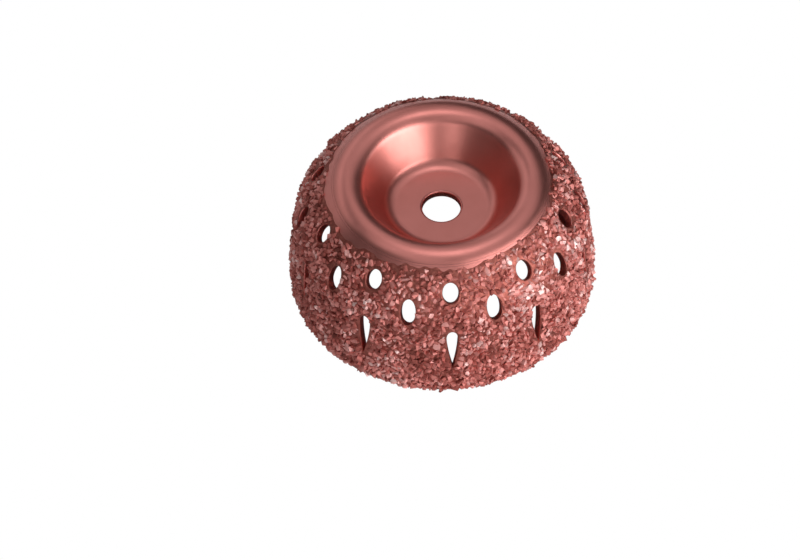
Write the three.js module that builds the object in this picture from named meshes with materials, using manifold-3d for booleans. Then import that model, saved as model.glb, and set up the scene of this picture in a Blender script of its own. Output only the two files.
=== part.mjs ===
// Contour carving disc for an angle grinder: a pressed steel centre dish with the spindle bore, a perforated
// steel contour shell, the brazing ring in the seam between them, and the braze bed and carbide grit on the shell.
// Millimetres. +Z runs along the bore towards the dish's mouth, and the origin is the centre of the open rim
// that the disc stands on.
import * as THREE from "three";
import { mergeVertices } from "three/addons/utils/BufferGeometryUtils.js";
import Module from "manifold-3d";

// Driving dimensions.
const HEIGHT = 38.1; // open rim to the top of the rolled crest
const SHEET = 2; // thickness of both steel pressings
const BORE_RADIUS = 4.76; // a 3/8 in arbor hole
const FLOOR_RADIUS = 11.1; // flat of the dish, up to its fillet
const DISH_DEPTH = 10.9; // crest to floor
const DISH_FILLET = 4;
const DISH_WALL_ANGLE = 56; // degrees above the floor
const CREST_INNER_RADIUS = 4.5; // bend of the rolled crest on the dish's side, over its outside
const CREST_OUTER_RADIUS = 5; // and on the shoulder's side
const SHOULDER_ANGLE = 43.5; // degrees below the horizontal, where the crest's bend ends
const CROWN_RADIUS = 45; // the shoulder bends gently at first
const CROWN_TURN = 11.8;
const SHOULDER_RADIUS = 15.6; // and then tightly into the side
const SIDE_ANGLE = 85; // degrees below the horizontal
const RIM_RADIUS = 17.7; // the side curls in to the open rim on this radius
const RIM_ANGLE = 111.3; // degrees below the horizontal

const DISH_LAP = 0.4; // the dish ends this far past the crest's bend
const SEAM_WIDTH = 0.5; // width of the brazing ring between the two pressings
const JOINT_GAP = 0.05; // clearance between neighbouring solids
const BRAZE_THICKNESS = 0.25;
const GRIT_THICKNESS = 0.6;

const SEGMENTS = 40; // facets round the axis: four to the pitch of the vents
const FACET_RISE = 0.1; // greatest height of a bend over its facets

// Three rows of vents, punched round in the flat blank and drawn longer and narrower towards the open rim.
const VENTS_IN_ROW = 10;
const VENT_SIDES = 12;
const VENT_ROWS = [
  { height: 31.2, turn: 0, width: 4, length: 5.2, pointed: false },
  { height: 26.4, turn: 0.5, width: 3.7, length: 7.1, pointed: false },
  { height: 15.1, turn: 0, width: 2.8, length: 12.4, pointed: true },
];

const wasm = await Module();
wasm.setup();

const radians = THREE.MathUtils.degToRad;

// The visible surface of the pressings, walked from the bore outwards as lines and arcs that join smoothly.
// Each station holds a point (radius, height) and the unit normal on its visible side.
class Meridian {
  constructor(radius, height, heading) {
    this.at = new THREE.Vector2(radius, height);
    this.heading = heading;
    this.stations = [];
    this.mark();
  }

  mark() {
    const angle = radians(this.heading);
    const normal = new THREE.Vector2(-Math.sin(angle), Math.cos(angle));
    this.stations.push({ point: this.at.clone(), normal });
  }

  line(length) {
    const angle = radians(this.heading);
    this.at.x += length * Math.cos(angle);
    this.at.y += length * Math.sin(angle);
    this.mark();
    return this;
  }

  // A positive turn bends upwards and a negative one downwards.
  arc(radius, turn) {
    const widest = 2 * Math.acos(1 - FACET_RISE / radius);
    const steps = Math.ceil(radians(Math.abs(turn)) / widest);
    const chord = 2 * radius * Math.sin(radians(Math.abs(turn) / steps / 2));
    for (let i = 0; i < steps; i++) {
      const angle = radians(this.heading + turn / steps / 2);
      this.at.x += chord * Math.cos(angle);
      this.at.y += chord * Math.sin(angle);
      this.heading += turn / steps;
      this.mark();
    }
    return this;
  }
}

// Points of a meridian, moved along its normals.
function offset(stations, distance) {
  return stations.map(({ point, normal }) => point.clone().addScaledVector(normal, distance));
}

// A ring whose section lies between two offsets of a meridian.
function ringGeometry(stations, inner, outer) {
  const outline = [...offset(stations, inner), ...offset(stations, outer).reverse()];
  outline.push(outline[0].clone());
  return new THREE.LatheGeometry(outline, SEGMENTS).rotateX(Math.PI / 2);
}

// A three.js geometry as a manifold-3d solid.
function solid(geometry) {
  const bare = new THREE.BufferGeometry();
  bare.setAttribute("position", geometry.getAttribute("position"));
  bare.setIndex(geometry.getIndex());
  const merged = mergeVertices(bare, 1e-4);
  return new wasm.Manifold(
    new wasm.Mesh({
      numProp: 3,
      vertProperties: merged.attributes.position.array,
      triVerts: new Uint32Array(merged.index.array),
    }),
  );
}

// A manifold-3d solid as a three.js geometry.
function geometryOf(body) {
  const mesh = body.getMesh();
  const geometry = new THREE.BufferGeometry();
  geometry.setAttribute("position", new THREE.BufferAttribute(mesh.vertProperties, 3));
  geometry.setIndex(new THREE.BufferAttribute(mesh.triVerts, 1));
  geometry.computeVertexNormals();
  return geometry;
}

// The outline of a vent, with its long axis along the meridian and +Y towards the crest.
function ventOutline({ width, length, pointed }) {
  const shape = new THREE.Shape();
  if (!pointed) return shape.absellipse(0, 0, width / 2, length / 2, 0, 2 * Math.PI);
  const crown = 0.18 * length; // height of the rounded end
  const shoulder = length / 2 - crown;
  shape.absellipse(0, shoulder, width / 2, crown, 0, Math.PI);
  shape.quadraticCurveTo(-0.42 * width, -0.1 * length, 0, -length / 2);
  return shape.quadraticCurveTo(0.42 * width, -0.1 * length, width / 2, shoulder);
}

// The station of a meridian at a height on its last, descending stretch.
function stationAt(stations, height) {
  const below = stations.findLastIndex(({ point }) => point.y >= height) + 1;
  const [a, b] = [stations[below - 1], stations[below]];
  const share = (a.point.y - height) / (a.point.y - b.point.y);
  return {
    point: a.point.clone().lerp(b.point, share),
    normal: a.normal.clone().lerp(b.normal, share).normalize(),
  };
}

// One vent's punch, standing through the shell along its normal. Angle 0 faces -Y.
function ventCutter(row, index, stations) {
  const { point, normal } = stationAt(stations, row.height);
  const angle = (2 * Math.PI * (index + row.turn)) / VENTS_IN_ROW - Math.PI / 2;
  const outward = new THREE.Vector3(Math.cos(angle), Math.sin(angle), 0);
  const axis = outward.clone().multiplyScalar(normal.x).setZ(normal.y);
  const across = new THREE.Vector3(-Math.sin(angle), Math.cos(angle), 0);
  const along = new THREE.Vector3().crossVectors(axis, across);
  const reach = 3 * SHEET;
  const centre = outward.multiplyScalar(point.x).setZ(point.y).addScaledVector(axis, -reach);
  const punch = new THREE.ExtrudeGeometry(ventOutline(row), {
    depth: 2 * reach,
    bevelEnabled: false,
    curveSegments: row.pointed ? VENT_SIDES / 4 : VENT_SIDES / 2, // the round ends take two steps each
  });
  return punch.applyMatrix4(new THREE.Matrix4().makeBasis(across, along, axis).setPosition(centre));
}

// Everything below the plane that the disc stands on.
function belowFloor() {
  const depth = 10;
  return new THREE.BoxGeometry(4 * HEIGHT, 4 * HEIGHT, depth).translate(0, 0, -depth / 2);
}

const copperedSteel = new THREE.MeshStandardMaterial({ color: "#a9675f", metalness: 0.9, roughness: 0.36 });
const braze = new THREE.MeshStandardMaterial({ color: "#9c5148", metalness: 0.9, roughness: 0.3 });
const carbide = new THREE.MeshStandardMaterial({ color: "#a55c57", metalness: 0.7, roughness: 0.45 });

function part(name, geometry, material) {
  const mesh = new THREE.Mesh(geometry, material);
  mesh.name = name;
  return mesh;
}

// The dish: bore, floor, fillet, wall and rolled crest, ending just down the shoulder cone.
function dishMeridian() {
  const wallAngle = radians(DISH_WALL_ANGLE);
  const bendRise = (DISH_FILLET + CREST_INNER_RADIUS) * (1 - Math.cos(wallAngle));
  return new Meridian(BORE_RADIUS, HEIGHT - DISH_DEPTH, 0)
    .line(FLOOR_RADIUS - BORE_RADIUS)
    .arc(DISH_FILLET, DISH_WALL_ANGLE)
    .line((DISH_DEPTH - bendRise) / Math.sin(wallAngle))
    .arc(CREST_INNER_RADIUS, -DISH_WALL_ANGLE)
    .arc(CREST_OUTER_RADIUS, -SHOULDER_ANGLE)
    .line(DISH_LAP);
}

// The brazing ring carries on where the dish ends.
function seamMeridian(dish) {
  const start = new Meridian(dish.at.x, dish.at.y, -SHOULDER_ANGLE).line(JOINT_GAP);
  return new Meridian(start.at.x, start.at.y, -SHOULDER_ANGLE).line(SEAM_WIDTH);
}

// The shell: the shoulder's two bends, the side and the curl to the open rim. It runs a little below the rim's
// plane, so that every layer on it can be cut off level there.
function shellMeridian(seam) {
  const start = new Meridian(seam.at.x, seam.at.y, -SHOULDER_ANGLE).line(JOINT_GAP);
  const crownEnd = SHOULDER_ANGLE + CROWN_TURN;
  const shell = new Meridian(start.at.x, start.at.y, -SHOULDER_ANGLE)
    .arc(CROWN_RADIUS, -CROWN_TURN)
    .arc(SHOULDER_RADIUS, crownEnd - SIDE_ANGLE);
  const curlDrop = RIM_RADIUS * (Math.cos(radians(SIDE_ANGLE)) - Math.cos(radians(RIM_ANGLE)));
  const trimmed = 0.7;
  const side = (shell.at.y + trimmed - curlDrop) / Math.sin(radians(SIDE_ANGLE));
  return shell.line(side).arc(RIM_RADIUS, SIDE_ANGLE - RIM_ANGLE);
}

const dish = dishMeridian();
const seam = seamMeridian(dish);
const shell = shellMeridian(seam);

const cutters = VENT_ROWS.flatMap((row) =>
  Array.from({ length: VENTS_IN_ROW }, (_, index) => solid(ventCutter(row, index, shell.stations))),
);
const waste = cutters.reduce((joined, cutter) => joined.add(cutter), solid(belowFloor()));

// A layer of the perforated shell, between two offsets of its meridian.
function shellLayer(inner, outer) {
  return geometryOf(solid(ringGeometry(shell.stations, inner, outer)).subtract(waste));
}

const brazeFoot = JOINT_GAP;
const gritFoot = brazeFoot + BRAZE_THICKNESS + JOINT_GAP;

const disc = new THREE.Group();
disc.add(
  part("centre_dish", ringGeometry(dish.stations, -SHEET, 0), copperedSteel),
  part("seam_braze_ring", ringGeometry(seam.stations, -SHEET, 0), braze),
  part("contour_shell", shellLayer(-SHEET, 0), copperedSteel),
  part("braze_bed", shellLayer(brazeFoot, brazeFoot + BRAZE_THICKNESS), braze),
  part("carbide_grit", shellLayer(gritFoot, gritFoot + GRIT_THICKNESS), carbide),
);

export default disc;
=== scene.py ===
"""Looks of a contour carving disc: copper-filmed steel pressings with a brazed coat of carbide chips.

Blender 4.5, in metres, in the frame of the CAD model: +Z along the bore, and the origin at the centre of the
open rim that the disc stands on. Each piece is made here finely, in the place and size of its CAD node.
"""

import math
from collections import namedtuple

import bmesh
import bpy
import numpy as np
from mathutils import Matrix, Vector


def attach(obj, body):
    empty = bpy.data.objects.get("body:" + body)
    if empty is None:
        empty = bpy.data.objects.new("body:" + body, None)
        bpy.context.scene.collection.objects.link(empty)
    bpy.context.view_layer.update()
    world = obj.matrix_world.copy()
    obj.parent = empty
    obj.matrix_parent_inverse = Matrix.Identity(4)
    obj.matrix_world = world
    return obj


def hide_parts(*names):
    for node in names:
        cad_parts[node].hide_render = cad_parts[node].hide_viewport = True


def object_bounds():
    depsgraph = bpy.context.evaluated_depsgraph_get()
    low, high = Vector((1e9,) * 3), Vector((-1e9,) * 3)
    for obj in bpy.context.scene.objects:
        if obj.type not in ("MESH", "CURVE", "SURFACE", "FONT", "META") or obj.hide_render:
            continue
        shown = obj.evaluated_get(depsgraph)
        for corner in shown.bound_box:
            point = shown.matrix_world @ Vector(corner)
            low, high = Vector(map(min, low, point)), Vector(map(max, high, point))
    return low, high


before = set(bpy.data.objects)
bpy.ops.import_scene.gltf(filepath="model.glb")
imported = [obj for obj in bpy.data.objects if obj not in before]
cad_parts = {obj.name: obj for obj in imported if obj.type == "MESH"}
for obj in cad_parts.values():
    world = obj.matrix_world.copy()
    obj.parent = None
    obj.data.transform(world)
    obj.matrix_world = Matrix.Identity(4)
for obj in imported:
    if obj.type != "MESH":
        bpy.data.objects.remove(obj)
cad_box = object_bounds()

MM = 0.001
SEED = 41  # each field of noise takes this seed or one of the next few

# The pressings. Angles are degrees below the horizontal, or above it in the dish.
HEIGHT = cad_box[1][2]
SHEET = 2.0 * MM
BORE_RADIUS = 4.76 * MM
FLOOR_RADIUS = 11.1 * MM
DISH_DEPTH = 10.9 * MM
DISH_FILLET = 4.0 * MM
DISH_WALL_ANGLE = 56
CREST_INNER_RADIUS = 4.5 * MM
CREST_OUTER_RADIUS = 5.0 * MM
SHOULDER_ANGLE = 43.5
DISH_LAP = 0.4 * MM
SEAM_WIDTH = 0.5 * MM
JOINT_GAP = 0.05 * MM
CROWN_RADIUS = 45 * MM
CROWN_TURN = 11.8
SHOULDER_RADIUS = 15.6 * MM
SIDE_ANGLE = 85
RIM_RADIUS = 17.7 * MM
RIM_ANGLE = 111.3
TRIMMED = 0.7 * MM  # the shell runs on this far below the plane that it stands on, and is cut off there
CUT_EDGE = 0.3 * MM  # rounding of the sheets' cut edges
WORN_EDGE = 0.5 * MM  # rounding of the bore's upper edge

# Vents: height of the centre, turn in pitches, width, length along the meridian, and whether the foot is a
# point.
VENTS_IN_ROW = 10
VentRow = namedtuple("VentRow", "height turn width length pointed")
VENT_ROWS = [
    VentRow(31.2 * MM, 0.0, 4.0 * MM, 5.2 * MM, False),
    VentRow(26.4 * MM, 0.5, 3.7 * MM, 7.1 * MM, False),
    VentRow(15.1 * MM, 0.0, 2.8 * MM, 12.4 * MM, True),
]
VENT_CROWN = 0.18  # height of a pointed vent's round end, as a share of its length
VENT_TAPER = 1.7  # power that sets how late a pointed vent narrows to its foot
VENT_SIDES = 36
VENT_INNER_EDGE = 0.25 * MM  # rounding of a vent's edge inside the shell
VENT_OUTER_EDGE = 0.45 * MM  # and outside

# The coat.
COAT = 0.95 * MM  # from the steel to the tops of most chips
BED = 0.13 * MM  # mean thickness of the copper that the chips sit in
BED_GAP = 0.02 * MM  # clearance between the bed and the steel
BED_STEP = 0.42 * MM  # size of the bed's facets
BED_WIDEST = 37 * MM  # radius at which they have that size
BED_FOOT = 0.1 * MM  # the bed ends this far above the plane that the disc stands on
CHIP_SIZE = (0.95 * MM, 2.3 * MM)
CHIP_SIZE_SPREAD = (1.3, 2.4)  # beta distribution between the two, with more small chips than large
CHIP_SHAPES = 60  # different shards
CHIP_POINTS = (10, 14)  # least number of points of a shard, and one more than the most
CHIP_RADIUS = (0.42, 0.54)  # distance of the points from its middle, as a share of its size
CHIP_STRETCH = (0.75, 1.2)
CHIP_TRIES = 80000  # places tried, most of which have no room
CHIP_PACKING = 0.55  # least distance between two chips, as a share of their mean size
CHIP_CLEARANCE = 0.34  # least distance of a chip's middle from a vent, as a share of its size
CHIP_UNEVENNESS = 0.13 * MM  # of their tops
CHIP_STAND = 0.4  # a chip larger than the mean stands higher by this share of the difference
SEAM_MARGIN = 0.1 * MM  # no chip has its middle nearer to the seam than this,
RIM_MARGIN = 0.9 * MM  # nor nearer to the untrimmed end of the shell than this
BARE_BAND = 1.6 * MM  # the coat starts this far from the seam on average,
BARE_DRIFT = 1.4 * MM  # more or less by this much, since it was laid off centre,
NEAREST_SEAM = 310  # and nearest to the seam in this direction
FEATHER = 1.2 * MM  # it is whole after this much more
FIRST_HEIGHT = 0.7  # it starts at this share of its height,
RISE = 3 * MM  # and has all of it this far from its edge
PAINTED_LIGHT_TOWARDS = 302  # painted light: the coat is palest round a spot on the shoulder that faces the key lights, in this direction,
PAINTED_LIGHT_HEIGHT = 30 * MM  # at this height,
PAINTED_LIGHT_REACH = 9 * MM  # and fades over this distance

STEP = 0.4 * MM  # length of a facet along a straight stretch
TURN_STEP = 5  # degrees of bend to a facet
DISH_SEGMENTS = 288  # facets round the axis
SHELL_SEGMENTS = 360


class Meridian:
    """The visible surface of a pressing, walked outwards as lines and arcs that join smoothly."""

    def __init__(self, radius, height, heading):
        self.at = np.array([radius, height])
        self.heading = heading
        self.points = [self.at.copy()]
        self.headings = [heading]

    def go(self, length, turn=0.0):
        """Moves by a chord of that length whose direction turns by that many degrees."""
        angle = math.radians(self.heading + turn / 2)
        self.at = self.at + length * np.array([math.cos(angle), math.sin(angle)])
        self.heading += turn
        self.points.append(self.at.copy())
        self.headings.append(self.heading)

    def line(self, length):
        count = max(1, round(length / STEP))
        for _ in range(count):
            self.go(length / count)
        return self

    def arc(self, radius, turn):
        """A positive turn bends upwards, and a negative one downwards."""
        arc_length = radius * math.radians(abs(turn))
        count = max(math.ceil(abs(turn) / TURN_STEP), round(arc_length / STEP))
        chord = 2 * radius * math.sin(math.radians(abs(turn)) / count / 2)
        for _ in range(count):
            self.go(chord, turn / count)
        return self


class Skin:
    """A meridian turned round the axis: gives points by distance along it, angle and height above it."""

    def __init__(self, meridian):
        self.points = np.array(meridian.points)
        self.headings = np.radians(meridian.headings)
        steps = np.linalg.norm(np.diff(self.points, axis=0), axis=1)
        self.along = np.concatenate([[0.0], np.cumsum(steps)])
        self.length = self.along[-1]

    def section(self, along, offset=0.0):
        """Radius and height of the surface, moved out along its normal."""
        heading = np.interp(along, self.along, self.headings)
        radius = np.interp(along, self.along, self.points[:, 0]) - offset * np.sin(heading)
        height = np.interp(along, self.along, self.points[:, 1]) + offset * np.cos(heading)
        return radius, height

    def line(self, offset):
        """The whole section at one offset, as points of radius and height."""
        return np.stack(self.section(self.along, offset), axis=-1)

    def point(self, along, angle, offset=0.0):
        radius, height = self.section(along, offset)
        return np.stack([radius * np.cos(angle), radius * np.sin(angle), height], axis=-1)

    def axes(self, along, angle):
        """Unit vectors across the meridian, up it and out of the surface."""
        heading = np.interp(along, self.along, self.headings)
        outward = np.array([math.cos(angle), math.sin(angle), 0.0])
        normal = -math.sin(heading) * outward + np.array([0.0, 0.0, math.cos(heading)])
        across = np.array([-math.sin(angle), math.cos(angle), 0.0])
        return across, np.cross(normal, across), normal

    def along_at(self, height):
        """The distance along a surface that comes down all the way, at which it passes a height."""
        return float(np.interp(-height, -self.points[:, 1], self.along))


def dish_meridian():
    wall_angle = math.radians(DISH_WALL_ANGLE)
    bend_rise = (DISH_FILLET + CREST_INNER_RADIUS) * (1 - math.cos(wall_angle))
    return (
        Meridian(BORE_RADIUS, HEIGHT - DISH_DEPTH, 0)
        .line(FLOOR_RADIUS - BORE_RADIUS)
        .arc(DISH_FILLET, DISH_WALL_ANGLE)
        .line((DISH_DEPTH - bend_rise) / math.sin(wall_angle))
        .arc(CREST_INNER_RADIUS, -DISH_WALL_ANGLE)
        .arc(CREST_OUTER_RADIUS, -SHOULDER_ANGLE)
        .line(DISH_LAP)
    )


def next_meridian(before):
    """A meridian that starts a joint's gap past the end of another."""
    gap = Meridian(*before.at, before.heading).line(JOINT_GAP)
    return Meridian(*gap.at, before.heading)


def shell_meridian(seam):
    shell = next_meridian(seam)
    shell.arc(CROWN_RADIUS, -CROWN_TURN)
    shell.arc(SHOULDER_RADIUS, SHOULDER_ANGLE + CROWN_TURN - SIDE_ANGLE)
    curl_drop = RIM_RADIUS * (math.cos(math.radians(SIDE_ANGLE)) - math.cos(math.radians(RIM_ANGLE)))
    shell.line((shell.at[1] + TRIMMED - curl_drop) / math.sin(math.radians(SIDE_ANGLE)))
    return shell.arc(RIM_RADIUS, SIDE_ANGLE - RIM_ANGLE)


dish_path = dish_meridian()
seam_path = next_meridian(dish_path).line(SEAM_WIDTH)
shell_path = shell_meridian(seam_path)
dish_skin = Skin(dish_path)
seam_skin = Skin(seam_path)
shell_skin = Skin(shell_path)


def piece(name, vertices, faces, material, node, slot):
    """A mesh object that rides on the only body and stands for a CAD node."""
    mesh = bpy.data.meshes.new(name)
    mesh.from_pydata([tuple(v) for v in vertices], [], faces)
    mesh.update()
    made = bpy.data.objects.new(name, mesh)
    bpy.context.scene.collection.objects.link(made)
    mesh.materials.append(material)
    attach(made, "root")
    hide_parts(node)
    return made


def smooth(made, sharp_angle):
    """Shades a piece smooth, but for the edges that bend by more than an angle in degrees."""
    made.data.polygons.foreach_set("use_smooth", [True] * len(made.data.polygons))
    made.data.set_sharp_from_angle(angle=math.radians(sharp_angle))


def outward(mesh):
    """Turns every face of a closed mesh to face out."""
    bm = bmesh.new()
    bm.from_mesh(mesh)
    bmesh.ops.recalc_face_normals(bm, faces=bm.faces)
    bm.to_mesh(mesh)
    bm.free()


def grid_faces(rows, columns):
    """Quads of a grid that closes on itself both ways."""
    return [
        (
            i * columns + j,
            i * columns + (j + 1) % columns,
            (i + 1) % rows * columns + (j + 1) % columns,
            (i + 1) % rows * columns + j,
        )
        for i in range(rows)
        for j in range(columns)
    ]


def turned(outline, segments):
    """Vertices and faces of a closed outline of radii and heights, turned round the axis."""
    outline = np.array(outline)
    angle = np.linspace(0, 2 * math.pi, segments, endpoint=False)
    radius, height = outline[:, 0, None], outline[:, 1, None]
    ring = np.stack([radius * np.cos(angle), radius * np.sin(angle), height + 0 * angle], axis=-1)
    return ring.reshape(-1, 3), grid_faces(len(outline), segments)


def rounded_corner(corner, before, after, radius, count=4):
    """Points that round a right-angled corner of an outline, entered and left in the given directions."""
    before, after = np.array(before), np.array(after)
    centre = np.array(corner) - radius * before + radius * after
    turn = np.linspace(0, math.pi / 2, count + 1)
    return [centre - radius * after * math.cos(t) + radius * before * math.sin(t) for t in turn]


def lattice_noise(points, size, seed):
    """Smooth noise from -1 to 1 whose features are about that many metres across."""
    values = np.random.default_rng(seed).uniform(-1, 1, 1 << 14)
    shift = 1000  # makes the cells' numbers positive
    mixers = (73856093, 19349663, 83492791)  # large odd numbers, which spread the cells over the values
    scaled = points / size + shift
    cell = np.floor(scaled).astype(np.int64)
    part = scaled - cell
    part = part * part * (3 - 2 * part)
    total = np.zeros(points.shape[:-1])
    for corner in np.ndindex(2, 2, 2):
        mixed = ((cell + corner) * mixers).sum(axis=-1)
        weight = np.prod(np.where(np.array(corner) == 1, part, 1 - part), axis=-1)
        total += weight * values[mixed % len(values)]
    return total


# Materials.


def shader_by_ray(tree, other_rays, camera_rays):
    """A shader that is one thing to the camera's own rays, and another to all the rest."""
    mix = tree.nodes.new("ShaderNodeMixShader")
    seen = tree.nodes.new("ShaderNodeLightPath").outputs["Is Camera Ray"]
    for output, socket in zip((seen, other_rays, camera_rays), mix.inputs):
        tree.links.new(output, socket)
    return mix.outputs["Shader"]


class Nodes:
    """Short calls for a material's node tree."""

    def __init__(self, name):
        self.material = bpy.data.materials.new(name)
        self.material.use_nodes = True
        self.tree = self.material.node_tree
        self.shader = self.tree.nodes["Principled BSDF"]

    def add(self, kind, values=(), **settings):
        """A node with its settings, and its named inputs as numbers or as other nodes' outputs."""
        node = self.tree.nodes.new("ShaderNode" + kind)
        for key, value in settings.items():
            setattr(node, key, value)
        for key, value in dict(values).items():
            self.feed(node.inputs[key], value)
        return node

    def feed(self, socket, value):
        if isinstance(value, bpy.types.NodeSocket):
            self.tree.links.new(value, socket)
        else:
            socket.default_value = value

    def set(self, **values):
        """Sets the shader's inputs. An underscore stands for a space."""
        for key, value in values.items():
            self.feed(self.shader.inputs[key.replace("_", " ")], value)

    def coordinates(self):
        return self.add("TexCoord").outputs["Object"]

    def noise(self, size, detail=3.0):
        """Noise from 0 to 1 whose features are about that many metres across."""
        values = {"Vector": self.coordinates(), "Scale": 1 / size, "Detail": detail, "Roughness": 0.55}
        return self.add("TexNoise", values).outputs["Fac"]

    def ramp(self, factor, *stops):
        node = self.add("ValToRGB", {"Fac": factor})
        elements = node.color_ramp.elements
        while len(elements) < len(stops):
            elements.new(1.0)
        for element, (position, colour) in zip(elements, stops):
            element.position = position
            element.color = (*colour, 1.0)
        return node.outputs["Color"]

    def spread(self, factor, low, high):
        """A number from 0 to 1 moved to the range from low to high."""
        values = {"Value": factor, "To Min": low, "To Max": high}
        return self.add("MapRange", values).outputs["Result"]

    def rise(self, low, high):
        """A number that goes from 0 to 1 between two heights of the object."""
        height = self.add("SeparateXYZ", {"Vector": self.coordinates()}).outputs["Z"]
        values = {"Value": height, "From Min": low, "From Max": high}
        return self.add("MapRange", values).outputs["Result"]

    def tinted(self, colour, tint):
        """A colour multiplied by another. The node has the inputs A and B once for each type of value."""
        node = self.add("Mix", {"Factor": 1.0}, data_type="RGBA", blend_type="MULTIPLY")
        sockets = [socket for socket in node.inputs if socket.type == "RGBA"]
        for socket, value in zip(sockets, (colour, tint)):
            self.feed(socket, value)
        return next(socket for socket in node.outputs if socket.type == "RGBA")

    def bump(self, height, depth):
        return self.add("Bump", {"Height": height, "Distance": depth, "Strength": 1.0}).outputs["Normal"]


def satin_copper(name, bowl_wall_shade=None):
    """The pressings: steel under a furnace-flowed film of copper, satin and faintly clouded.

    A bowl's tint is painted shade: it darkens the dish's wall, to dim the light that bounces round inside the
    hollow.
    """
    m = Nodes(name)
    cloud = m.noise(9 * MM, detail=4)
    colour = m.ramp(cloud, (0.3, (0.80, 0.285, 0.250)), (0.7, (0.86, 0.315, 0.280)))
    if bowl_wall_shade:
        # Painted shade: the dish's wall, between its floor and its crest, is darkened.
        rise = m.rise(HEIGHT - DISH_DEPTH, HEIGHT)
        plain = (1.0, 1.0, 1.0)
        tint = m.ramp(rise, (0.0, plain), (0.15, bowl_wall_shade), (0.75, bowl_wall_shade), (0.95, plain))
        colour = m.tinted(colour, tint)
    grain = m.noise(0.25 * MM, detail=2)
    m.set(
        Base_Color=colour,
        Metallic=1.0,
        Roughness=m.spread(m.noise(4 * MM), 0.30, 0.40),
        Normal=m.bump(grain, 0.006 * MM),
    )
    return m.material


def braze_copper_painted_shade():
    """The filler between the chips: lumpy where it has climbed them, and darker than copper as painted shade
    for the crevices between the chips.
    """
    m = Nodes("braze_copper_painted_shade")
    # Painted shade: the braze's copper is darkened for the shade that falls between the chips.
    colour = m.ramp(m.noise(1.5 * MM), (0.3, (0.25, 0.07, 0.055)), (0.7, (0.45, 0.15, 0.12)))
    m.set(
        Base_Color=colour,
        Metallic=1.0,
        Roughness=m.spread(m.noise(1 * MM), 0.4, 0.6),
        Normal=m.bump(m.noise(0.5 * MM, detail=4), 0.12 * MM),
    )
    return m.material


def coated_chips():
    """The chips: each has a tone of its own, from bare dark carbide to bright wetted copper; the tones also
    carry a painted pool of light on the shoulder.
    """
    m = Nodes("coated_chips")
    tone = m.add("Attribute", attribute_name="tone").outputs["Fac"]
    colour = m.ramp(
        tone,
        (0.0, (0.26, 0.08, 0.065)),
        (0.3, (0.50, 0.16, 0.135)),
        (0.6, (0.78, 0.34, 0.305)),
        (1.0, (0.96, 0.72, 0.69)),
    )
    m.set(
        Base_Color=colour,
        Metallic=1.0,
        Roughness=m.spread(tone, 0.76, 0.64),
        Normal=m.bump(m.noise(0.35 * MM), 0.04 * MM),
    )
    return m.material


# Vents.


class Vent:
    """One vent: its middle on the shell, its directions, and its half width along its long axis."""

    def __init__(self, row, index):
        self.width, self.length, self.pointed = row.width, row.length, row.pointed
        angle = 2 * math.pi * (index + row.turn) / VENTS_IN_ROW - math.pi / 2
        along = shell_skin.along_at(row.height)
        self.centre = shell_skin.point(along, angle)
        self.across, self.up, self.out = shell_skin.axes(along, angle)

    def half_width(self, up):
        """Half the width at a height above the middle, and nothing past the ends."""
        half = self.length / 2
        if not self.pointed:
            return self.width / 2 * np.sqrt(np.clip(1 - (up / half) ** 2, 0, 1))
        crown = VENT_CROWN * self.length
        shoulder = half - crown
        rise = np.clip((up - shoulder) / crown, 0, 1)
        fall = np.clip((shoulder - up) / (shoulder + half), 0, 1)
        return self.width / 2 * np.where(up > shoulder, np.sqrt(1 - rise**2), 1 - fall**VENT_TAPER)

    def outline(self):
        turn = np.linspace(0, 2 * math.pi, VENT_SIDES, endpoint=False) + math.pi / VENT_SIDES
        up = self.length / 2 * np.sin(turn)
        return np.sign(np.cos(turn)) * self.half_width(up), up

    def plug(self, stations):
        """Vertices and faces of a plug through the sheet.

        A station is a place along the normal, and how much the outline has grown there.
        """
        across, up = (side[:, None] for side in self.outline())
        rings = []
        for depth, growth in stations:
            wider = 1 + growth / (self.width / 2)
            longer = 1 + growth / (self.length / 2)
            middle = self.centre + depth * self.out
            rings.append(middle + across * wider * self.across + up * longer * self.up)
        last = (len(rings) - 1) * VENT_SIDES
        faces = grid_faces(len(rings), VENT_SIDES)[:last]
        faces.append(tuple(range(VENT_SIDES))[::-1])
        faces.append(tuple(range(last, last + VENT_SIDES)))
        return np.concatenate(rings), faces

    def misses(self, points, margin):
        """Which points stand clear of the vent by a margin."""
        far_side = 6 * SHEET  # what is in line with the vent, but further off than this, is the coat opposite
        offset = points - self.centre
        across = np.abs(offset @ self.across)
        up = offset @ self.up
        inward = up / (1 + 2 * margin / self.length)
        near = np.abs(offset @ self.out) < far_side
        inside = (np.abs(inward) < self.length / 2) & (across < self.half_width(inward) + margin)
        return ~(inside & near)


vents = [Vent(row, index) for row in VENT_ROWS for index in range(VENTS_IN_ROW)]


def make_cutter():
    """All the vents' plugs, flared at both faces of the sheet so that the cut edges come out rounded."""
    turn = np.linspace(0, math.pi / 2, 5)
    inner = [
        (-SHEET + VENT_INNER_EDGE * (1 - math.sin(t)), VENT_INNER_EDGE * (1 - math.cos(t)))
        for t in turn[::-1]
    ]
    outer = [
        (BED - VENT_OUTER_EDGE * (1 - math.sin(t)), VENT_OUTER_EDGE * (1 - math.cos(t))) for t in turn
    ]
    past_under = (-SHEET - 1 * MM, VENT_INNER_EDGE)
    past_top = (BED + 2 * MM, 2 * VENT_OUTER_EDGE)
    vertices, faces = [], []
    for vent in vents:
        points, sides = vent.plug([past_under, *inner, *outer, past_top])
        total = sum(len(v) for v in vertices)
        faces += [tuple(i + total for i in side) for side in sides]
        vertices.append(points)
    mesh = bpy.data.meshes.new("vent_cutter")
    mesh.from_pydata([tuple(v) for v in np.concatenate(vertices)], [], faces)
    outward(mesh)
    made = bpy.data.objects.new("vent_cutter", mesh)
    bpy.context.scene.collection.objects.link(made)
    return made


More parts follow.
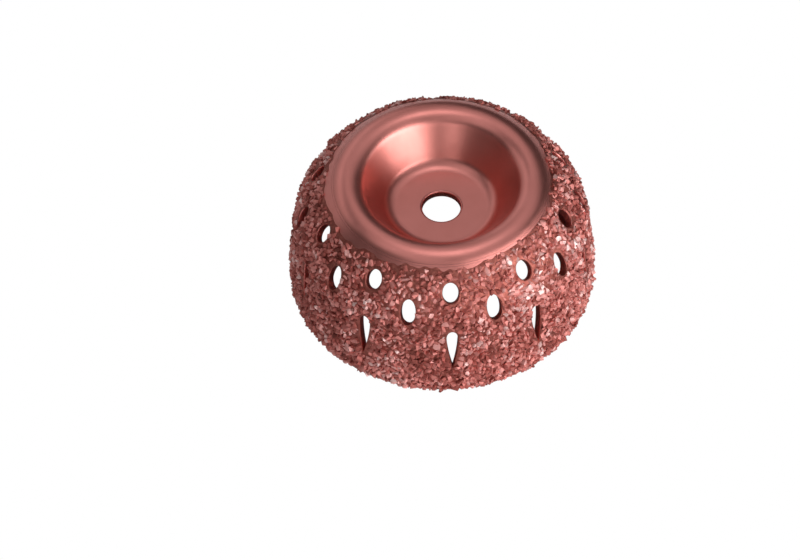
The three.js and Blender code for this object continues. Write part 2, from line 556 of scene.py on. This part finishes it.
def cut_vents(made, cutter):
    modifier = made.modifiers.new("vents", "BOOLEAN")
    modifier.operation = "DIFFERENCE"
    modifier.solver = "MANIFOLD"
    modifier.object = cutter
    evaluated = made.evaluated_get(bpy.context.evaluated_depsgraph_get())
    mesh = bpy.data.meshes.new_from_object(evaluated)
    made.modifiers.clear()
    made.data = mesh


# Pressings, seam and bed.


def make_dish(material):
    """The centre dish, with rounded edges at the bore."""
    top, under = dish_skin.line(0.0), dish_skin.line(-SHEET)
    upper = rounded_corner((BORE_RADIUS, top[0, 1]), (0, 1), (1, 0), WORN_EDGE)
    lower = rounded_corner((BORE_RADIUS, under[0, 1]), (-1, 0), (0, 1), CUT_EDGE)
    outline = [*lower, *upper, *top[1:], *under[:0:-1]]
    form = turned(outline, DISH_SEGMENTS)
    made = piece("centre_dish_copper", *form, material, "centre_dish", "coppered_steel")
    smooth(made, sharp_angle=40)


def make_seam(material):
    """The brazing ring, flush with both pressings on either side."""
    outline = [*seam_skin.line(0.0), *seam_skin.line(-SHEET)[::-1]]
    form = turned(outline, DISH_SEGMENTS)
    made = piece("seam_braze_fillet", *form, material, "seam_braze_ring", "braze")
    outward(made.data)
    smooth(made, sharp_angle=40)


def rim_cut(points, level):
    """A descending line of radii and heights, ended at a level."""
    kept = points[points[:, 1] > level]
    radius = np.interp(-level, -points[:, 1], points[:, 0])
    return np.vstack([kept, [radius, level]])


def make_shell(material, cutter):
    """The perforated shell, its foot cut level and its edges rounded."""
    outer = rim_cut(shell_skin.line(0.0), CUT_EDGE)
    inner = rim_cut(shell_skin.line(-SHEET), CUT_EDGE)
    foot = rounded_corner((outer[-1, 0], 0.0), (0, -1), (-1, 0), CUT_EDGE)
    heel = rounded_corner((inner[-1, 0], 0.0), (-1, 0), (0, 1), CUT_EDGE)
    outline = [*outer[:-1], *foot, *heel, *inner[-2::-1]]
    form = turned(outline, SHELL_SEGMENTS)
    made = piece("contour_shell_copper", *form, material, "contour_shell", "coppered_steel")
    outward(made.data)
    cut_vents(made, cutter)
    smooth(made, sharp_angle=35)


def coat_edge(angle):
    """How far from the seam the coat starts. The edge is ragged."""
    ring = shell_skin.point(0 * angle, angle)
    drift = BARE_BAND - BARE_DRIFT * np.cos(angle - math.radians(NEAREST_SEAM))
    bays = 0.9 * MM * lattice_noise(ring, 5 * MM, SEED + 2)
    teeth = 0.5 * MM * lattice_noise(ring, 1.5 * MM, SEED + 3)
    return np.maximum(drift + (bays + teeth), SEAM_MARGIN)


def make_bed(material, cutter):
    """The copper that the chips sit in: lumpy, and thinning out towards the dish."""
    rim = shell_skin.along_at(BED_FOOT)
    segments = round(2 * math.pi * BED_WIDEST / BED_STEP)
    angle = np.linspace(0, 2 * math.pi, segments, endpoint=False)
    share = np.linspace(0, 1, round(rim / BED_STEP))[:, None]
    lead = 0.2 * MM  # the bed starts this far before the coat's edge
    start = np.maximum(coat_edge(angle) - lead, BED_GAP)
    along = start + share * (rim - start)
    angle = angle + 0 * along
    flat = shell_skin.point(along, angle)
    lumps = 0.5 * lattice_noise(flat, 1.1 * MM, SEED) + 0.5 * lattice_noise(flat, 0.5 * MM, SEED + 1)
    feather = np.clip((along - start) / FEATHER, 0, 1)
    thinnest = 0.01 * MM
    thickness = BED_GAP + thinnest + feather * (BED + 0.1 * MM * lumps)
    top = shell_skin.point(along, angle, thickness)
    under = shell_skin.point(along, angle, BED_GAP)[::-3]
    top[-1, :, 2] = under[0, :, 2] = BED_FOOT
    rows = np.concatenate([top, under])
    form = rows.reshape(-1, 3), grid_faces(len(rows), segments)
    made = piece("braze_bed_copper", *form, material, "braze_bed", "braze")
    outward(made.data)
    cut_vents(made, cutter)
    smooth(made, sharp_angle=60)


# The coat of chips.


def chip_shapes(count, rng):
    """Points and faces of angular shards about one unit across."""
    shapes = []
    for _ in range(count):
        points = rng.normal(size=(rng.integers(*CHIP_POINTS), 3))
        points /= np.linalg.norm(points, axis=1, keepdims=True)
        points *= rng.uniform(*CHIP_RADIUS, size=(len(points), 1))
        bm = bmesh.new()
        for point in points:
            bm.verts.new(point)
        hull = bmesh.ops.convex_hull(bm, input=bm.verts)
        bmesh.ops.delete(bm, geom=hull["geom_interior"], context="VERTS")
        bmesh.ops.recalc_face_normals(bm, faces=bm.faces)
        bm.verts.index_update()
        vertices = np.array([v.co[:] for v in bm.verts])
        faces = np.array([[v.index for v in f.verts] for f in bm.faces])
        shapes.append((vertices, faces))
        bm.free()
    return shapes


def random_turns(count, rng):
    """Rotation matrices spread evenly over all directions."""
    q = rng.normal(size=(count, 4))
    q /= np.linalg.norm(q, axis=1, keepdims=True)
    w, x, y, z = q.T
    rows = [
        [1 - 2 * (y * y + z * z), 2 * (x * y - z * w), 2 * (x * z + y * w)],
        [2 * (x * y + z * w), 1 - 2 * (x * x + z * z), 2 * (y * z - x * w)],
        [2 * (x * z - y * w), 2 * (y * z + x * w), 1 - 2 * (x * x + y * y)],
    ]
    return np.stack([np.stack(row, axis=-1) for row in rows], axis=1)


def scattered(low, high, sizes, rng):
    """Distances along the shell, angles and sizes of the chips that find room, the big ones first."""
    samples = 200
    radius = shell_skin.section(np.linspace(low, high, samples))[0]
    along = rng.uniform(low, high, len(sizes))
    fits = rng.uniform(0, radius.max(), len(sizes)) < shell_skin.section(along)[0]
    angle = rng.uniform(0, 2 * math.pi, len(sizes))
    points = shell_skin.point(along, angle)
    reach = CHIP_PACKING * sizes.max()
    cells = {}
    chosen = []
    for index in np.flatnonzero(fits):
        point, size = points[index], sizes[index]
        home = tuple((point // reach).astype(int))
        near = [
            j
            for dx in (-1, 0, 1)
            for dy in (-1, 0, 1)
            for dz in (-1, 0, 1)
            for j in cells.get((home[0] + dx, home[1] + dy, home[2] + dz), ())
        ]
        gap = CHIP_PACKING * (sizes[near] + size) / 2
        if np.all(((points[near] - point) ** 2).sum(axis=1) > gap**2):
            cells.setdefault(home, []).append(index)
            chosen.append(index)
    return along[chosen], angle[chosen], sizes[chosen]


def chip_places(rng):
    """Distance along the shell, angle, size and foot of each chip.

    They stand past the coat's edge, and clear of the vents.
    """
    small, large = CHIP_SIZE
    sizes = np.sort(small + (large - small) * rng.beta(*CHIP_SIZE_SPREAD, CHIP_TRIES))[::-1]
    along, angle, size = scattered(SEAM_MARGIN, shell_skin.length - RIM_MARGIN, sizes, rng)
    foot = shell_skin.point(along, angle)
    clear = along > coat_edge(angle) + FEATHER * rng.uniform(0, 1, len(along)) ** 2
    for vent in vents:
        clear &= vent.misses(foot, CHIP_CLEARANCE * size)
    return along[clear], angle[clear], size[clear], foot[clear]


def chip_tones_and_painted_light(foot, rng):
    """A tone from 0 to 1 for each chip: patchy at random, and palest round a spot on the shoulder, which is a
    painted pool of the key lights' brightness.
    """
    patches = lattice_noise(foot, 2.0 * MM, SEED + 4)
    clouds = lattice_noise(foot, 10 * MM, SEED + 5)
    # Painted light: the chips are made paler round the spot on the shoulder that the key lights fall on.
    painted_light_spot = shell_skin.point(shell_skin.along_at(PAINTED_LIGHT_HEIGHT), math.radians(PAINTED_LIGHT_TOWARDS))
    pale = np.exp(-((np.linalg.norm(foot - painted_light_spot, axis=1) / PAINTED_LIGHT_REACH) ** 2))
    mottle_and_painted_light = 0.3 * patches + 0.12 * clouds + 0.28 * pale
    usual_tone, scatter = 0.51, 0.14
    return np.clip(usual_tone + mottle_and_painted_light + rng.normal(0, scatter, len(foot)), 0, 1)


def make_chips(material):
    rng = np.random.default_rng(SEED)
    shapes = chip_shapes(CHIP_SHAPES, rng)
    along, angle, size, foot = chip_places(rng)
    count = len(along)
    stretch = rng.uniform(*CHIP_STRETCH, (count, 3))
    turns = random_turns(count, rng)
    whole = np.clip((along - coat_edge(angle)) / RISE, 0, 1)
    height = COAT * (FIRST_HEIGHT + (1 - FIRST_HEIGHT) * whole)
    top = height + CHIP_STAND * (size - size.mean()) + rng.normal(0, CHIP_UNEVENNESS, count)
    centre = shell_skin.point(along, angle, top - size / 2)
    # Each chip's tone holds random patches and a painted pool of light.
    tone = chip_tones_and_painted_light(foot, rng)
    kind = rng.integers(0, len(shapes), count)
    vertices, faces, tones = [], [], []
    total = 0
    for i in range(count):
        shape, sides = shapes[kind[i]]
        placed = (shape * stretch[i] * size[i]) @ turns[i].T + centre[i]
        placed[:, 2] += max(0.0, -placed[:, 2].min())
        vertices.append(placed)
        faces.append(sides + total)
        tones.append(np.full(len(placed), tone[i]))
        total += len(placed)
    form = np.concatenate(vertices), np.concatenate(faces).tolist()
    made = piece("carbide_chips", *form, material, "carbide_grit", "carbide_grit")
    smooth(made, sharp_angle=48)
    attribute = made.data.attributes.new("tone", "FLOAT", "POINT")
    attribute.data.foreach_set("value", np.concatenate(tones))


# The dish's copper, with painted shade on its wall.
make_dish(satin_copper("bowl_copper_painted_shade", bowl_wall_shade=(0.78, 0.78, 0.76)))
cutter = make_cutter()
satin = satin_copper("satin_copper")
make_seam(satin)
make_shell(satin, cutter)
make_bed(braze_copper_painted_shade(), cutter)
bpy.data.objects.remove(cutter)
make_chips(coated_chips())


# The stage, the lights and the camera.

WHITE = (1, 1, 1, 1)
FLOOR_TONE = 0.8
FLOOR_LEVEL = -0.02 * MM  # just clear of the foot
FLOOR_SIDE = 6.0
WORLD_STRENGTH = 0.04  # of the world's light on the disc
LIGHT_DISTANCE = 0.6  # of each light, from the middle of the disc

def plain_white(name):
    """An evenly lit white ground: the camera sees it burnt out, and the disc sees plain pale paper."""
    m = Nodes(name)
    m.set(Base_Color=(FLOOR_TONE, FLOOR_TONE, FLOOR_TONE, 1), Roughness=0.9)
    glow = m.add("Emission", {"Color": WHITE, "Strength": 1.0})
    surface = shader_by_ray(m.tree, m.shader.outputs["BSDF"], glow.outputs["Emission"])
    m.tree.links.new(surface, m.tree.nodes["Material Output"].inputs["Surface"])
    return m.material


def make_floor():
    mesh = bpy.data.meshes.new("floor")
    half = FLOOR_SIDE / 2
    square = [(x * half, y * half, FLOOR_LEVEL) for x, y in ((-1, -1), (1, -1), (1, 1), (-1, 1))]
    mesh.from_pydata(square, [], [(0, 1, 2, 3)])
    mesh.materials.append(plain_white("floor_white"))
    floor = bpy.data.objects.new("floor", mesh)
    bpy.context.scene.collection.objects.link(floor)


def direction(azimuth, elevation):
    """The unit vector towards an azimuth and an elevation in radians."""
    level = math.cos(elevation)
    return Vector((level * math.cos(azimuth), level * math.sin(azimuth), math.sin(elevation)))


def softbox(name, towards, spans, radiance):
    """A soft rectangular light, as the disc sees it.

    It stands towards an azimuth and an elevation, and spans a width and a height, all in degrees. Azimuth 0
    is +X, and 90 is +Y.
    """
    away = direction(*(math.radians(angle) for angle in towards))
    width, height = (2 * LIGHT_DISTANCE * math.tan(math.radians(angle) / 2) for angle in spans)
    data = bpy.data.lights.new(name, "AREA")
    data.shape = "RECTANGLE"
    data.size, data.size_y = width, height
    data.energy = radiance * math.pi * width * height
    light = bpy.data.objects.new(name, data)
    light.location = Vector((0, 0, HEIGHT / 2)) + LIGHT_DISTANCE * away
    light.rotation_euler = away.to_track_quat("Z", "Y").to_euler()
    bpy.context.scene.collection.objects.link(light)


def make_world():
    """White to the camera, and a dim even light for the disc."""
    world = bpy.data.worlds.new("studio")
    world.use_nodes = True
    tree = world.node_tree
    light = tree.nodes["Background"]
    light.inputs["Color"].default_value = WHITE
    light.inputs["Strength"].default_value = WORLD_STRENGTH
    seen = tree.nodes.new("ShaderNodeBackground")
    seen.inputs["Color"].default_value = WHITE
    surface = shader_by_ray(tree, light.outputs["Background"], seen.outputs["Background"])
    tree.links.new(surface, tree.nodes["World Output"].inputs["Surface"])
    bpy.context.scene.world = world


def make_camera():
    """A long lens, so that lines that run away from it hardly close up."""
    distance = 4.0
    seen_width = 199.2 * MM
    azimuth, elevation, roll = math.radians(-3.4), math.radians(50.1), math.radians(0.92)
    aside, above = 10.53 * MM, 0.82 * MM  # the disc's place in the view, from its middle
    towards = direction(azimuth - math.pi / 2, elevation)
    level = Vector((math.cos(azimuth), math.sin(azimuth), 0))
    upright = towards.cross(level)
    right = level * math.cos(roll) - upright * math.sin(roll)
    up = level * math.sin(roll) + upright * math.cos(roll)
    data = bpy.data.cameras.new("camera")
    data.lens = data.sensor_width * distance / seen_width
    data.clip_end = 20
    camera = bpy.data.objects.new("camera", data)
    place = distance * towards - aside * right - above * up
    camera.matrix_world = Matrix.Translation(place) @ Matrix((right, up, towards)).transposed().to_4x4()
    bpy.context.scene.collection.objects.link(camera)
    bpy.context.scene.camera = camera


make_floor()
softbox("key", towards=(320, 20), spans=(50, 16), radiance=5.4)
softbox("key_low", towards=(320, 5), spans=(50, 14), radiance=2.9)
softbox("key_high", towards=(308, 34), spans=(30, 12), radiance=1.4)
softbox("key_side", towards=(288, 10), spans=(20, 24), radiance=2.7)
softbox("low_right", towards=(355, 8), spans=(30, 20), radiance=1.3)
softbox("front_fill", towards=(250, 12), spans=(26, 22), radiance=1.7)
softbox("front", towards=(262, 32), spans=(40, 20), radiance=0.25)
softbox("high_front", towards=(312, 49), spans=(56, 20), radiance=0.3)
softbox("high_left", towards=(222, 57), spans=(52, 26), radiance=0.55)
softbox("low_left", towards=(212, 10), spans=(44, 24), radiance=0.12)
softbox("back_low", towards=(130, 12), spans=(70, 22), radiance=0.36)
softbox("back", towards=(130, 33), spans=(70, 20), radiance=0.60)
softbox("top", towards=(60, 76), spans=(66, 66), radiance=0.42)
softbox("zenith", towards=(60, 83), spans=(22, 22), radiance=1.25)
make_world()
make_camera()
bpy.context.scene.view_settings.view_transform = "Standard"
